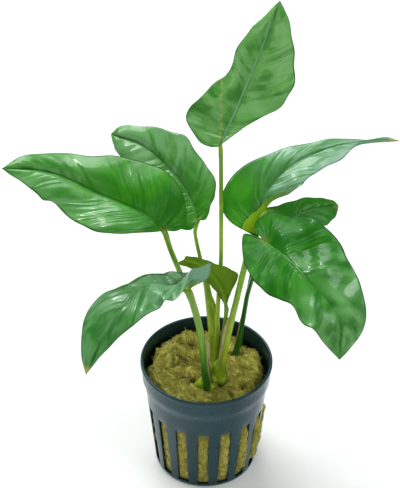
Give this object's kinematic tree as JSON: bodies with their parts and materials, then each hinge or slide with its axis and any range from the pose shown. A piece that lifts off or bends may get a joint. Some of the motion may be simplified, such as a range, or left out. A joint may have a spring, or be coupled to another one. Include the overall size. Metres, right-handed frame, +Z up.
{
  "type": "potted anubias plant",
  "caption": "Broad-leaved water plant with upright leaf stalks on a creeping rhizome, rooted in a wool plug inside a slotted round net pot.",
  "frame": {"origin": "centre of the pot's flat underside, on the surface that the pot stands on", "axes": "+Z up along the pot's axis, -Y towards the front of the plant, +X to the plant's right as seen from the front"},
  "size_m": [0.157, 0.0995, 0.2061],
  "materials": {
    "pot": "satin",
    "rockwool": "matte, fibrous, damp",
    "rhizome": "waxy",
    "stem": "waxy",
    "leaf": "glossy, waxy"
  },
  "bodies": {
    "root": {"pot": "pot", "rockwool": "rockwool", "rhizome": "rhizome", "stem_top": "stem", "stem_left": "stem", "stem_back_left": "stem", "stem_right": "stem", "stem_back_right": "stem", "stem_front_right": "stem", "stem_front_left": "stem", "stem_young": "stem", "leaf_top": "leaf", "leaf_left": "leaf", "leaf_back_left": "leaf", "leaf_right": "leaf", "leaf_back_right": "leaf", "leaf_front_right": "leaf", "leaf_front_left": "leaf", "leaf_young": "leaf"}
  },
  "joints": []
}
